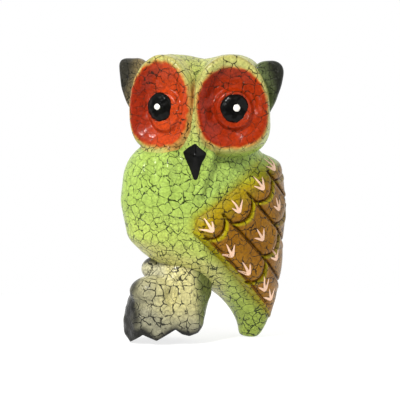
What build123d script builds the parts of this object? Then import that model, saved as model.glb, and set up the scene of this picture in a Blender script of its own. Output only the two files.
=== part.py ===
"""Painted carved-wood owl statuette, 200 mm tall, standing on a root-like perch and its tail tip.

Frame: +Z up, -Y to the front, origin on the shelf at the middle of the outline. The torso is
turned away from the front: its chest points to -X, and its tail to +X and a little back. The
head is turned almost all the way to the front, and looks a little to -X. Left and right are the
owl's own, so its left wing is on the +X side. Every piece is carved wood, and they are glued
together over hidden dowels.
"""

import os
from math import cos, radians, sin

from build123d import *

# ---- driving dimensions, in millimetres and degrees ----
OVERALL_HEIGHT = 200.0
TORSO_TURN = 25.0  # the tail's direction, counted from +X towards +Y
HEAD_TURN = -13.5  # the head's own left, counted the same way
NECK_HEIGHT = 137.0  # flat glue joint between torso and head

# Torso: level ellipses. Each row is height, shift towards the tail, half length, half width.
TORSO_STATIONS = [
    (0, 36.5, 4.2, 8.5),
    (10, 37.2, 7.4, 13.5),
    (20, 36.2, 11.0, 17.0),
    (31, 32.6, 17.0, 20.0),
    (44, 22.0, 31.0, 27.0),
    (58, 8.4, 46.5, 32.5),
    (72, 1.6, 54.0, 35.0),
    (98, -0.7, 58.0, 36.5),
    (118, -1.1, 55.5, 35.0),
    (129, -2.0, 48.0, 31.5),
    (NECK_HEIGHT, -2.0, 36.0, 25.0),
]

# Bib: the swelling between the eye discs that carries the beak
BIB_CENTRE = (-3.0, -24.0, 128.0)
BIB_RADII = (13.0, 17.0, 24.0)

# Head: a crown and a brow over each eye, in the head's own frame
HEAD_X, HEAD_Y = 1.6, -8.6  # the upright line that the head turns about
CROWN_HEIGHT, CROWN_RADII = 157.5, (43.0, 30.0, 39.5)
BROW_RADII = (27.0, 28.0, 34.0)
BROW_SPREAD = 21.0
BROW_HEIGHT = OVERALL_HEIGHT - BROW_RADII[2]

# Eye discs: oval dished cups, set in the head's own frame
DISC_SPREAD = 26.2
DISC_FRONT = 26.5
DISC_HEIGHT = 166.2
DISC_RX, DISC_RZ, DISC_THICKNESS = 25.0, 33.3, 15.0
DISC_SPLAY = 16.5  # how far each disc faces outwards
DISC_ROLL = 4.0  # how far the discs' tops lean together
RIM_ROUND = 3.6
SEAT_CLEARANCE = 10.0
DISH_RX, DISH_RZ, DISH_DEPTH = 20.6, 28.2, 6.0
DISH_FLOOR_RX, DISH_FLOOR_RZ = 14.5, 17.5
BOSS_RADIUS, BOSS_HEIGHT, BOSS_DRAFT = 13.0, 3.0, 1.8
PUPIL_RADIUS, PUPIL_HEIGHT = 9.0, 4.5
PEG_RADIUS, PEG_LENGTH = 2.5, 6.0

# Beak: a blunt four-sided diamond
BEAK_MIDDLE = -4.8
BEAK_TOP, BEAK_SIDES, BEAK_BOTTOM = 140.2, 132.7, 114.7
BEAK_HALF_WIDTH, BEAK_BLUNT = 8.0, 1.2
BEAK_BASE, BEAK_RISE, BEAK_TENON = -38.5, 6.5, 11.0

# Ears, in the head's own frame. Each row is the distance in from the outermost point, and the
# height from the middle.
EAR_OUTLINE = [
    (-26, 4),
    (-19, 14.5),
    (-10, 16.8),
    (-2.5, 13),
    (0, 4),
    (-2.5, -8),
    (-11, -16.5),
    (-21, -12),
]
EAR_REACH, EAR_HEIGHT = {"left": 57.0, "right": 61.6}, {"left": 178.5, "right": 182.0}
EAR_FRONT, EAR_THICKNESS, EAR_ROUND = 7.0, 11.0, 4.0
EAR_YAW = 14.0  # how far each ear sweeps back

# Wings: carved relief glued to the torso's sides. Places are distance along the torso, height.
WING_BASE, WING_RELIEF = 2.2, 4.2
WING_RIDGE = [(-20.5, 77), (-17, 86.5), (6, 98.5), (31, 119), (46, 127)]
WING_BACK = [(66, 127), (66, 60), (58, 40), (51, 22)]
WING_TIP = (46.0, 17.0)
WING_SPLIT = 5.0  # half the bare strip down the back between the wings
GROOVE_WIDTH = 1.4
BAND_WIDTH = 22.3
FEATHER_ENDS = [(10.0, 57.0), (18.0, 53.0), (23.0, 46.0)]
FEATHER_ROUND = 9.0
FEATHER_RUN = 100.0  # long enough for a groove to leave the wing

# Perch: level ellipses. Each row is height, middle x, middle y, half width, half depth.
PERCH_STATIONS = [
    (0, -27.5, -11.0, 26.5, 25.0),
    (14, -27.0, -11.0, 27.2, 26.0),
    (30, -24.5, -10.0, 28.0, 25.0),
    (43, -18.5, -8.0, 26.5, 22.0),
    (62, -10.0, -4.0, 22.0, 18.0),
]
KNOT_CENTRE, KNOT_RADII = (-31.5, 0.0, 48.5), (10.5, 11.0, 11.5)
KNUCKLE_CENTRE, KNUCKLE_RADII = (-33.0, -22.0, 36.5), (13.0, 12.0, 9.5)
# Gaps between the roots: middle x and y at the outline, half width, height.
ROOT_GAPS = [
    (-40.7, -33.0, 13.5, 5.7),
    (-18.3, -36.0, 15.0, 9.0),
    (1.0, -20.0, 14.0, 8.0),
    (-36.0, 15.0, 9.0, 6.0),
    (-12.0, 13.0, 8.0, 6.0),
]

GAP_LEAD, GAP_RUN = 8.0, 16.0

# Hidden dowels
NECK_DOWEL_RADIUS, NECK_DOWEL_LENGTH = 5.0, 30.0
PERCH_DOWEL_RADIUS, PERCH_DOWEL_LENGTH = 4.0, 28.0
PERCH_DOWELS = {"front": (-24.0, -8.0, 38.0), "rear": (-7.0, -2.0, 29.0)}  # lower ends
EAR_DOWEL_RADIUS, EAR_DOWEL_LENGTH, EAR_DOWEL_DEPTH = 2.0, 16.0, 22.0
DISC_DOWEL_RADIUS, DISC_DOWEL_LENGTH, DISC_DOWEL_GRIP = 3.0, 16.0, 5.0
PIN_RADIUS, PIN_LENGTH = 1.0, 10.0
WING_PINS = [(4, 80, 37.2), (22, 90, 35.0)]  # along the torso, height, outer end

SIDES = {"left": 1, "right": -1}

os.makedirs("parts", exist_ok=True)

tail_way = Vector(cos(radians(TORSO_TURN)), sin(radians(TORSO_TURN)), 0)
left_way = Vector(sin(radians(TORSO_TURN)), -cos(radians(TORSO_TURN)), 0)
torso_middle = Plane((0, 0, 0), x_dir=tail_way, z_dir=left_way)
head_left = Vector(cos(radians(HEAD_TURN)), sin(radians(HEAD_TURN)), 0)
head_front = Vector(sin(radians(HEAD_TURN)), -cos(radians(HEAD_TURN)), 0)


def write(piece, name):
    """Labels a finished piece and writes its STEP file."""
    piece.part.label = name
    export_step(piece.part, f"parts/{name}.step")


def ellipsoid(centre, radii, turn=0):
    """A solid ellipsoid, turned about its upright axis."""
    with BuildPart() as lump:
        Sphere(1)
        scale(by=radii, mode=Mode.REPLACE)
    return Pos(*centre) * Rot(0, 0, turn) * lump.part


def in_head(left, front, height):
    """A point given in the head's own frame."""
    return Vector(HEAD_X, HEAD_Y, height) + head_left * left + head_front * front


def head_plane(left, front, height, outward, lean=0):
    """An upright plane on the head that faces outward degrees to the owl's left of its front."""
    turn, tilt = radians(HEAD_TURN + outward), radians(lean)
    return Plane(
        in_head(left, front, height),
        x_dir=(cos(turn) * cos(tilt), sin(turn) * cos(tilt), sin(tilt)),
        z_dir=(sin(turn), -cos(turn), 0),
    )


def torso_form(grow):
    """The torso's bare form, larger all round by grow."""
    with BuildPart() as form:
        for height, shift, half_length, half_width in TORSO_STATIONS:
            middle = tail_way * shift + Vector(0, 0, height)
            with BuildSketch(Plane(middle, x_dir=tail_way, z_dir=(0, 0, 1))):
                Ellipse(half_length + grow, half_width + grow)
        loft()
    return form.part


def dowel(start, direction, radius, length):
    """A round dowel with eased ends, from start along direction."""
    with BuildPart() as pin:
        with BuildSketch(Plane(start, z_dir=direction)):
            Circle(radius)
        extrude(amount=length)
        chamfer(pin.edges().filter_by(GeomType.CIRCLE), length=radius * 0.2)
    return pin


# ---- eye discs and pupils ----
faces = {
    side: head_plane(way * DISC_SPREAD, DISC_FRONT, DISC_HEIGHT, way * DISC_SPLAY, way * DISC_ROLL)
    for side, way in SIDES.items()
}
disc_blanks, disc_seats, discs, pupils = {}, {}, {}, {}
for side, face in faces.items():
    boss_top = face.offset(BOSS_HEIGHT - DISH_DEPTH)
    with BuildPart() as blank:
        with BuildSketch(face):
            Ellipse(DISC_RX, DISC_RZ)
        extrude(amount=-DISC_THICKNESS)
    disc_blanks[side] = blank.part
    # The seat takes away whatever would stand in the disc's place or in front of its dish.
    with BuildPart() as seat:
        with BuildSketch(face.offset(SEAT_CLEARANCE)):
            Ellipse(DISC_RX, DISC_RZ)
        extrude(amount=-DISC_THICKNESS - SEAT_CLEARANCE)
    disc_seats[side] = seat.part
    with BuildPart() as disc:
        add(blank.part)
        fillet(disc.edges().sort_by(Axis(face.origin, face.z_dir))[-1], RIM_ROUND)
        with BuildSketch(face):
            Ellipse(DISH_RX, DISH_RZ)
        with BuildSketch(face.offset(-DISH_DEPTH)):
            Ellipse(DISH_FLOOR_RX, DISH_FLOOR_RZ)
        loft(mode=Mode.SUBTRACT)
        with BuildSketch(face.offset(-DISH_DEPTH)):
            Circle(BOSS_RADIUS)
        with BuildSketch(boss_top):
            Circle(BOSS_RADIUS - BOSS_DRAFT)
        loft()
        with BuildSketch(boss_top):
            Circle(PEG_RADIUS)
        extrude(amount=-PEG_LENGTH, mode=Mode.SUBTRACT)
    discs[side] = disc

    # The pupil is a turned dome with a peg, drawn as half its outline and spun.
    outline_plane = Plane(boss_top.origin, x_dir=boss_top.x_dir, z_dir=-boss_top.y_dir)
    with BuildPart() as pupil:
        with BuildSketch(outline_plane):
            with BuildLine():
                Polyline((PEG_RADIUS, 0), (PEG_RADIUS, -PEG_LENGTH), (0, -PEG_LENGTH), (0, PUPIL_HEIGHT))
                TangentArc((0, PUPIL_HEIGHT), (PUPIL_RADIUS, 0), tangent=(1, 0))
                Line((PUPIL_RADIUS, 0), (PEG_RADIUS, 0))
            make_face()
        revolve(axis=Axis(boss_top.origin, boss_top.z_dir))
    pupils[side] = pupil

# The two cups meet at the middle, where the left one is whole and the right one gives way.
with discs["right"]:
    add(disc_blanks["left"], mode=Mode.SUBTRACT)

# ---- beak ----
beak_base = Plane((BEAK_MIDDLE, BEAK_BASE, 0), x_dir=(1, 0, 0), z_dir=(0, -1, 0))
diamond = [
    (0, BEAK_TOP),
    (BEAK_HALF_WIDTH, BEAK_SIDES),
    (BEAK_BLUNT, BEAK_BOTTOM),
    (-BEAK_BLUNT, BEAK_BOTTOM),
    (-BEAK_HALF_WIDTH, BEAK_SIDES),
]
with BuildPart() as beak:
    with BuildSketch(beak_base) as beak_outline:
        with BuildLine():
            Polyline(*diamond, close=True)
        make_face()
    extrude(amount=-BEAK_TENON)
    loft(sections=[beak_outline.sketch.face(), Vertex(BEAK_MIDDLE, BEAK_BASE - BEAK_RISE, BEAK_SIDES)])

# ---- head, before its sockets ----
bib = ellipsoid(BIB_CENTRE, BIB_RADII)
crown = ellipsoid(in_head(0, 0, CROWN_HEIGHT), CROWN_RADII, HEAD_TURN)
brows = [
    ellipsoid(in_head(way * BROW_SPREAD, 0, BROW_HEIGHT), BROW_RADII, HEAD_TURN) for way in SIDES.values()
]

with BuildPart() as head:
    add(crown)
    add(brows)
    split(bisect_by=Plane.XY.offset(NECK_HEIGHT), keep=Keep.TOP)
head_form = head.part

# ---- ears ----
ears, ear_dowels = {}, {}
for side, way in SIDES.items():
    ear_face = head_plane(way * EAR_REACH[side], EAR_FRONT, EAR_HEIGHT[side], way * EAR_YAW)
    with BuildPart() as ear:
        with BuildSketch(ear_face):
            with BuildLine():
                Spline([(way * inward, up) for inward, up in EAR_OUTLINE], periodic=True)
            make_face()
        extrude(amount=-EAR_THICKNESS)
        fillet(ear.edges().filter_by(GeomType.BSPLINE), EAR_ROUND)
        add(head_form, mode=Mode.SUBTRACT)
        add(disc_blanks[side], mode=Mode.SUBTRACT)
    ears[side] = ear
    root_reach = EAR_REACH[side] - EAR_DOWEL_DEPTH
    root = in_head(way * root_reach, EAR_FRONT - EAR_THICKNESS / 2, EAR_HEIGHT[side])
    ear_dowels[side] = dowel(root, head_left * way, EAR_DOWEL_RADIUS, EAR_DOWEL_LENGTH)

# ---- dowels ----
neck_foot = in_head(0, 0, NECK_HEIGHT - NECK_DOWEL_LENGTH / 2)
neck_dowel = dowel(neck_foot, (0, 0, 1), NECK_DOWEL_RADIUS, NECK_DOWEL_LENGTH)
perch_dowels = {
    place: dowel(start, (0, 0, 1), PERCH_DOWEL_RADIUS, PERCH_DOWEL_LENGTH)
    for place, start in PERCH_DOWELS.items()
}
disc_dowels = {
    side: dowel(
        face.offset(DISC_DOWEL_GRIP - DISC_THICKNESS).origin,
        -face.z_dir,
        DISC_DOWEL_RADIUS,
        DISC_DOWEL_LENGTH,
    )
    for side, face in faces.items()
}

# ---- torso ----
torso_shape = torso_form(0)
with BuildPart() as torso:
    add(torso_shape)
    add(bib)
    split(bisect_by=Plane.XY.offset(NECK_HEIGHT), keep=Keep.BOTTOM)
torso_skin = torso.part

# ---- wings ----
feather_way = Vector(WING_TIP[0] - WING_RIDGE[0][0], WING_TIP[1] - WING_RIDGE[0][1]).normalized()
feather_plane = Plane(
    torso_middle.from_local_coords(Vector(*WING_RIDGE[0])),
    x_dir=tail_way * feather_way.X + Vector(0, 0, feather_way.Y),
    z_dir=left_way,
)
WING_REACH = 60.0  # far enough out to pass through the widest part of the torso
wing_band, relief_shell = torso_form(WING_RELIEF), torso_form(WING_BASE)

with BuildPart() as feather_grooves:
    with BuildSketch(feather_plane):
        for row, ends in enumerate(FEATHER_ENDS):
            low, high = row * BAND_WIDTH, (row + 1) * BAND_WIDTH
            with BuildLine() as groove_lines:
                if row:
                    Line((0, low), (FEATHER_RUN, low))
                for end in ends:
                    back = end - FEATHER_ROUND
                    ThreePointArc((back, low), (end, (low + high) / 2), (back, high))
            trace(line_width=GROOVE_WIDTH)
    extrude(amount=WING_REACH)
    add(relief_shell, mode=Mode.SUBTRACT)

with BuildPart() as left_wing:
    with BuildSketch(torso_middle.offset(WING_SPLIT)):
        with BuildLine():
            ridge = Spline(WING_RIDGE)
            Polyline(ridge @ 1, *WING_BACK, WING_TIP, WING_RIDGE[0])
        make_face()
    extrude(amount=WING_REACH)
    add(wing_band, mode=Mode.INTERSECT)
    add(feather_grooves.part, mode=Mode.SUBTRACT)
    add(torso_skin, mode=Mode.SUBTRACT)

# The far wing is the same carving on the torso's other side.
with BuildPart() as right_wing:
    add(left_wing.part)
    mirror(about=torso_middle, mode=Mode.REPLACE)
wings = {"left": left_wing, "right": right_wing}

wing_pins = {}
for side, way in SIDES.items():
    with BuildPart() as pins:
        for along, height, outer_end in WING_PINS:
            station = torso_middle.from_local_coords(Vector(along, height, way * outer_end))
            with BuildSketch(Plane(station, z_dir=left_way * -way)):
                Circle(PIN_RADIUS)
        extrude(amount=PIN_LENGTH)
    wing_pins[side] = pins

# ---- perch ----
knot = ellipsoid(KNOT_CENTRE, KNOT_RADII)
knuckle = ellipsoid(KNUCKLE_CENTRE, KNUCKLE_RADII)
perch_middle = Vector(PERCH_STATIONS[0][1], PERCH_STATIONS[0][2], 0)
with BuildPart() as perch:
    for height, x, y, half_width, half_depth in PERCH_STATIONS:
        with BuildSketch(Plane((x, y, height))):
            Ellipse(half_width, half_depth)
    loft()
    add(knot)
    add(knuckle)
    for x, y, half_gap, rise in ROOT_GAPS:
        # Each gap is a roof-shaped cut that runs out before the perch's middle.
        inward = (perch_middle - Vector(x, y, 0)).normalized()
        gap_plane = Plane(Vector(x, y, 0) - inward * GAP_LEAD, x_dir=inward.rotate(Axis.Z, 90), z_dir=inward)
        with BuildSketch(gap_plane) as gap:
            with BuildLine():
                Polyline((-half_gap, 0), (0, 2 * rise), (half_gap, 0), close=True)
            make_face()
        loft(sections=[gap.sketch.face(), Vertex(*(Vector(x, y, 0) + inward * GAP_RUN))], mode=Mode.SUBTRACT)
    add(torso_skin, mode=Mode.SUBTRACT)

# ---- sockets ----
side_dowels = [*ear_dowels.values(), *disc_dowels.values(), *wing_pins.values()]
sockets = [pin.part for pin in (neck_dowel, *perch_dowels.values(), *side_dowels)]
fitted = [*disc_seats.values(), beak.part]
for piece in (torso, head):
    with piece:
        add(fitted, mode=Mode.SUBTRACT)
        add(sockets, mode=Mode.SUBTRACT)
for piece in (*discs.values(), *ears.values(), *wings.values(), perch):
    with piece:
        add(sockets, mode=Mode.SUBTRACT)

write(torso, "torso")
write(head, "head")
write(beak, "beak")
write(perch, "perch")
write(neck_dowel, "neck_dowel")
for place, pin in perch_dowels.items():
    write(pin, f"{place}_perch_dowel")
for side in SIDES:
    write(discs[side], f"{side}_eye_disc")
    write(pupils[side], f"{side}_pupil")
    write(ears[side], f"{side}_ear")
    write(wings[side], f"{side}_wing")
    write(ear_dowels[side], f"{side}_ear_dowel")
    write(disc_dowels[side], f"{side}_disc_dowel")
    write(wing_pins[side], f"{side}_wing_pins")
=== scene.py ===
# %% [markdown]
# A carved and painted wooden owl
# The real thing is a hand-carved statuette: soft wood cut with gouges and knives, brushed and
# airbrushed with bright paint over a crackle medium, then varnished. The packed CAD model gives its
# frame: where each piece is, how large it is, and what it is called. Here every piece is carved
# again as a smooth form, painted point by point, and put in the place of its CAD piece.

# %% Load the frame and keep its box
from math import cos, pi, radians, sin

import bmesh
import bpy
import numpy as np
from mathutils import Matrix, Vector
from mathutils.bvhtree import BVHTree


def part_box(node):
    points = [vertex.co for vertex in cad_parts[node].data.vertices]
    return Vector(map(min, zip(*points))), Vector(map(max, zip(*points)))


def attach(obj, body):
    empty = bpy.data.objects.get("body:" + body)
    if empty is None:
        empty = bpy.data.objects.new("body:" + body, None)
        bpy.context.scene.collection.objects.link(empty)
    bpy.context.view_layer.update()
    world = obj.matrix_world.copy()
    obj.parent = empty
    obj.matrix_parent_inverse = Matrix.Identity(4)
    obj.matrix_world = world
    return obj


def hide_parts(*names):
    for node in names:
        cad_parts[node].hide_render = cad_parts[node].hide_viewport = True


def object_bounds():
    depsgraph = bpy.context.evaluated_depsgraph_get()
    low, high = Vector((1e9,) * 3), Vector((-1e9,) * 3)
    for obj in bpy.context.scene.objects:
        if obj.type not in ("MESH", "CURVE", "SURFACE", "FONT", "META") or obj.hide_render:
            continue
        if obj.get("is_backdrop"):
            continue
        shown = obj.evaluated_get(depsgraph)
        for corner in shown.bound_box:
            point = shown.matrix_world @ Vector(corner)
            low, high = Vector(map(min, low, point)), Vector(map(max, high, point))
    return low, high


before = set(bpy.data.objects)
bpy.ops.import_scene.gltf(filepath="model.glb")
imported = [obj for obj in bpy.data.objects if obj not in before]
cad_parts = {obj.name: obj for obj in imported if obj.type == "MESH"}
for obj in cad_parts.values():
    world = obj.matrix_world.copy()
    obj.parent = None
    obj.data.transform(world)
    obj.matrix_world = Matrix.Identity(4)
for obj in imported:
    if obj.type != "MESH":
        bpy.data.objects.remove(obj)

MM = 0.001
cad_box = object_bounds()
low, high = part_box("torso")
print("torso, mm:", [round(v / MM, 1) for v in (*low, *high)])

# %% [markdown]
# The camera
# A small ornament looks best through a long lens from a long way off, almost level, so that its
# uprights stay parallel. A lens could be given by its focal length. It is easier to say how wide
# the view is at the owl, and to work the focal length out from that.

# %% Camera
VIEW_LIFT = 4.0  # degrees above level
VIEW_DISTANCE, VIEW_WIDTH = 1.7, 0.2792  # metres
SENSOR = 36.0
view_target = Vector((-0.0017, 0.0, 0.0977))
camera_data = bpy.data.cameras.new("camera")
camera_data.sensor_width = SENSOR
camera_data.lens = SENSOR * VIEW_DISTANCE / VIEW_WIDTH
camera = bpy.data.objects.new("camera", camera_data)
lift = radians(VIEW_LIFT)
camera.location = view_target + Vector((0, -cos(lift), sin(lift))) * VIEW_DISTANCE
camera.rotation_euler = (pi / 2 - lift, 0, 0)
bpy.context.scene.collection.objects.link(camera)
bpy.context.scene.camera = camera
print("lens, mm:", round(camera_data.lens))

# %% [markdown]
# The lamps
# The owl stands near a window, high on its right, with a weaker fill from its left. Varnish mirrors
# every lamp. So the window is a small square that leaves a crisp spark on a ridge, the fill is a
# large one that leaves none, and a low lamp adds the sparks at the bottom of an eye cup.

# %% Lamps
def soft_light(name, place, size, watts, tint=(1, 1, 1)):
    """A square lamp at place that looks at the middle of the owl."""
    lamp = bpy.data.lights.new(name, "AREA")
    lamp.size = size
    lamp.energy = watts
    lamp.color = tint
    holder = bpy.data.objects.new(name, lamp)
    holder.location = place
    holder.rotation_euler = (view_target - Vector(place)).to_track_quat("-Z", "Y").to_euler()
    bpy.context.scene.collection.objects.link(holder)


soft_light("window", (-0.50, -0.75, 0.85), 0.2, 14.0, (1.0, 0.985, 0.96))
soft_light("left_lamp", (-1.0, -0.95, 0.22), 0.18, 1.2)
soft_light("fill", (1.0, -0.85, 0.6), 1.5, 8.0)
print("lamps, watts:", [(lamp.name, round(lamp.energy, 1)) for lamp in bpy.data.lights])

# %% [markdown]
# The pale room
# Around the owl is a pale room, dim on the near side and bright behind. The dim side keeps the
# black enamel black, and the bright side gives every outline a clean pale edge. Straight from the
# camera the room is plain white, so that no horizon shows.

# %% Pale room
ROOM_NEAR, ROOM_FAR = 0.15, 1.0  # how bright it is on the near side and behind the owl
ROOM_DIMS, ROOM_CLEARS = -0.55, 0.45  # the directions between which it gets brighter
world = bpy.data.worlds.new("pale_room")
world.use_nodes = True
room = world.node_tree
direction = room.nodes.new("ShaderNodeTexCoord")
split = room.nodes.new("ShaderNodeSeparateXYZ")
shade = room.nodes.new("ShaderNodeMapRange")
shade.interpolation_type = "SMOOTHSTEP"
room.links.new(direction.outputs["Generated"], split.inputs["Vector"])
room.links.new(split.outputs["Y"], shade.inputs["Value"])
shade.inputs["From Min"].default_value = ROOM_DIMS
shade.inputs["From Max"].default_value = ROOM_CLEARS
shade.inputs["To Min"].default_value = ROOM_NEAR
shade.inputs["To Max"].default_value = ROOM_FAR
seen = room.nodes.new("ShaderNodeLightPath")
strength = room.nodes.new("ShaderNodeMix")
room.links.new(seen.outputs["Is Camera Ray"], strength.inputs["Factor"])
room.links.new(shade.outputs["Result"], strength.inputs["A"])
strength.inputs["B"].default_value = 1.0
room.links.new(strength.outputs["Result"], room.nodes["Background"].inputs["Strength"])
room.nodes["Background"].inputs["Color"].default_value = (1, 1, 1, 1)
bpy.context.scene.world = world
bpy.context.scene.view_settings.view_transform = "Standard"
print("room, near and far:", ROOM_NEAR, ROOM_FAR)

# %% [markdown]
# The floor
# The owl stands on white paper. A small round sheet is enough, because the room beyond it is white
# too, and a large one would shine into the varnish from below. It glows a little, so that all it
# shows is the owl's soft shadow.

# %% Floor
FLOOR_REACH, FLOOR_CORNERS = 0.32, 96
FLOOR_GREY, FLOOR_GLOW = 0.3, 0.78
floor_mesh = bpy.data.meshes.new("floor")
turns = [2 * pi * i / FLOOR_CORNERS for i in range(FLOOR_CORNERS)]
corners = [(cos(turn) * FLOOR_REACH, sin(turn) * FLOOR_REACH, 0) for turn in turns]
floor_mesh.from_pydata(corners, [], [tuple(range(FLOOR_CORNERS))])
floor = bpy.data.objects.new("floor", floor_mesh)
floor_finish = bpy.data.materials.new("pale_floor")
floor_finish.use_nodes = True
floor_shader = floor_finish.node_tree.nodes["Principled BSDF"]
floor_shader.inputs["Base Color"].default_value = (FLOOR_GREY, FLOOR_GREY, FLOOR_GREY, 1)
floor_shader.inputs["Roughness"].default_value = 0.95
floor_shader.inputs["Specular IOR Level"].default_value = 0.1
floor_shader.inputs["Emission Color"].default_value = (1, 1, 1, 1)
floor_shader.inputs["Emission Strength"].default_value = FLOOR_GLOW
floor_mesh.materials.append(floor_finish)
bpy.context.scene.collection.objects.link(floor)
floor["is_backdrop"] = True
print("floor, metres across:", 2 * FLOOR_REACH)

# %% [markdown]
# Carving with distances
# A carver rounds forms into each other, and cuts grooves out of them. Polygons are clumsy at that,
# but distances are good at it. Each form below is a function that says how far a point is from the
# form's surface, in millimetres, negative inside. A soft minimum of two such functions is two lumps
# grown together, and a soft maximum with a reversed one is a cut.

# %% Ways to join and cut
def mould(a, b, soft):
    """Two forms grown together, with a fillet about as wide as soft."""
    near = np.clip(0.5 + 0.5 * (b - a) / soft, 0, 1)
    return b + (a - b) * near - soft * near * (1 - near)


def carve(a, b, soft):
    """What two forms have in common, with a rounded edge."""
    return -mould(-a, -b, soft)


def ramp(value, start, end):
    """0 at start and 1 at end, with an easy slope between."""
    t = np.clip((value - start) / (end - start), 0, 1)
    return t * t * (3 - 2 * t)


def bell(value, middle, width):
    """1 at the middle, falling away on both sides."""
    return np.exp(-(((value - middle) / width) ** 2))


print("a 3 mm fillet fills its corner by, mm:", round(-float(mould(0.0, 0.0, 3.0)), 2))

# %% [markdown]
# Lumps, cuts and tool marks
# Nearly every detail of a carved owl is one of two shapes: a lump that was left standing, or the
# cut of a round gouge. So an egg and a rod are enough to draw with. Over them goes an uneven wave
# a fraction of a millimetre high, because no surface from a knife is quite smooth.

# %% Lumps, rods and knife marks
def egg(x, y, z, radii, power=2.0):
    """An ellipsoid about the origin. A power above 2 makes it more like a cushion."""
    shares = [np.abs(value / radius) + 1e-6 for value, radius in zip((x, y, z), radii)]
    size = sum(share**power for share in shares) ** (1 / power)
    slopes = [share ** (power - 1) / radius for share, radius in zip(shares, radii)]
    return (size - 1) / (np.sqrt(sum(slope**2 for slope in slopes)) * size ** (1 - power))


def lump(x, y, z, place, radii):
    """An egg with its middle at place."""
    return egg(x - place[0], y - place[1], z - place[2], radii)


def rod(x, y, z, start, end, radius):
    """A straight rod with round ends, for ridges and gouge cuts."""
    sx, sy, sz = start
    dx, dy, dz = (e - s for s, e in zip(start, end))
    t = ((x - sx) * dx + (y - sy) * dy + (z - sz) * dz) / (dx * dx + dy * dy + dz * dz)
    t = np.clip(t, 0, 1)
    return np.sqrt((x - sx - t * dx) ** 2 + (y - sy - t * dy) ** 2 + (z - sz - t * dz) ** 2) - radius


def knife_marks(x, y, z, size):
    """An uneven wave between about -1 and 1, as long as size, like a surface left from the knife."""
    k = 2 * pi / size
    first = np.sin(k * (0.9 * x + 0.31 * z) + 1.3) * np.sin(k * (0.8 * y - 0.45 * z) + 0.4)
    second = np.sin(k * (0.53 * z + 0.6 * y) + 2.1) * np.sin(k * (0.67 * x - 0.5 * y) + 5.2)
    return first + second


def tool_marks(x, y, z):
    """The faint waviness of everything but the enamel, in millimetres."""
    return 0.10 * knife_marks(x, y, z, 17.0)


print("3 mm outside a 10 mm egg, mm:", round(float(egg(13.0, 0.0, 0.0, (10, 10, 10))), 2))

# %% [markdown]
# From distances to a mesh
# The space round a piece is cut into small cubes. Wherever the surface passes through a cube, one
# point is put at the mean of where it crosses the cube's edges, and neighbours are joined by
# four-sided faces. Then each point slides along the slope until its distance is nothing. This
# gives an even, closed mesh that follows soft forms well.

# %% Points and faces where a surface cuts the cubes
CUBE = 0.75
AXES = np.eye(3, dtype=int)


def crossing_points(far, cells):
    """For each cube that is cut, the mean of the places where its edges are cut."""
    total, hits = np.zeros((len(cells), 3)), np.zeros(len(cells))
    for axis in range(3):
        along, side_a, side_b = AXES[axis], AXES[(axis + 1) % 3], AXES[(axis + 2) % 3]
        for shift in (0 * along, side_a, side_b, side_a + side_b):
            start = cells + shift
            a, b = far[tuple(start.T)], far[tuple((start + along).T)]
            cut = (a < 0) != (b < 0)
            total[cut] += start[cut] + along * (a[cut] / (a[cut] - b[cut]))[:, None]
            hits[cut] += 1
    return total / hits[:, None]


def crossing_faces(inside, number):
    """A four-sided face round each edge that is cut, with its front outwards."""
    faces, shape = [], number.shape
    for axis in range(3):
        u, v = (axis + 1) % 3, (axis + 2) % 3
        first = np.take(inside, range(shape[axis]), axis)
        second = np.take(inside, range(1, shape[axis] + 1), axis)
        edge = np.argwhere(first != second)
        edge = edge[(edge[:, u] > 0) & (edge[:, v] > 0)]
        edge = edge[(edge[:, u] < shape[u]) & (edge[:, v] < shape[v])]
        around = (0 * AXES[u], AXES[u], AXES[u] + AXES[v], AXES[v])
        quads = np.stack([number[tuple((edge - back).T)] for back in around], 1)
        outward = inside[tuple(edge.T)]
        quads[~outward] = quads[~outward][:, ::-1]
        faces.append(quads)
    return np.concatenate(faces)


print("cubes, mm:", CUBE)

# %% [markdown]
# Settling the points
# A mean of crossings lies near the surface, but not on it, and the mesh would look dented. The
# slope of the distance says which way the surface is, so each point takes three careful steps
# that way. A step is kept shorter than a third of a cube, so that no two points pass each other.

# %% Skin a form
SETTLE_GOES, SETTLE_SHARE, GENTLEST = 3, 0.3, 0.2


def slope_of(form, x, y, z, reach=0.2):
    """Which way a form's distance grows, at each point."""
    steps = [
        form(x + reach, y, z) - form(x - reach, y, z),
        form(x, y + reach, z) - form(x, y - reach, z),
        form(x, y, z + reach) - form(x, y, z - reach),
    ]
    return np.stack(steps, 1) / (2 * reach)


def settle(form, points, longest):
    """Slides points onto the surface, in steps no longer than this."""
    for _ in range(SETTLE_GOES):
        slope = slope_of(form, *points.T)
        steep = np.maximum((slope**2).sum(1), GENTLEST)
        move = -form(*points.T)[:, None] * slope / steep[:, None]
        points = points + np.clip(move, -longest, longest)
    return points


def skin(name, form, low, high, cube=CUBE):
    """Makes a mesh object of a form inside a box given in millimetres."""
    lines = [np.arange(a, b + cube, cube) for a, b in zip(low, high)]
    far = form(*np.meshgrid(*lines, indexing="ij"))
    inside = far < 0
    shape = tuple(n - 1 for n in far.shape)
    full = np.zeros(shape, np.int8)
    for corner in np.ndindex(2, 2, 2):
        full += inside[tuple(slice(c, c + n) for c, n in zip(corner, shape))]
    crossed = (full > 0) & (full < 8)
    cells = np.argwhere(crossed)
    number = np.zeros(shape, int)
    number[crossed] = np.arange(len(cells))
    points = crossing_points(far, cells) * cube + np.array([line[0] for line in lines])
    points = settle(form, points, SETTLE_SHARE * cube)
    mesh = bpy.data.meshes.new(name)
    mesh.from_pydata(points * MM, [], crossing_faces(inside, number))
    mesh.polygons.foreach_set("use_smooth", np.ones(len(mesh.polygons), bool))
    mesh.update()
    piece = bpy.data.objects.new(name, mesh)
    bpy.context.scene.collection.objects.link(piece)
    print(f"{name}: {len(points)} points")
    return piece


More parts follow.
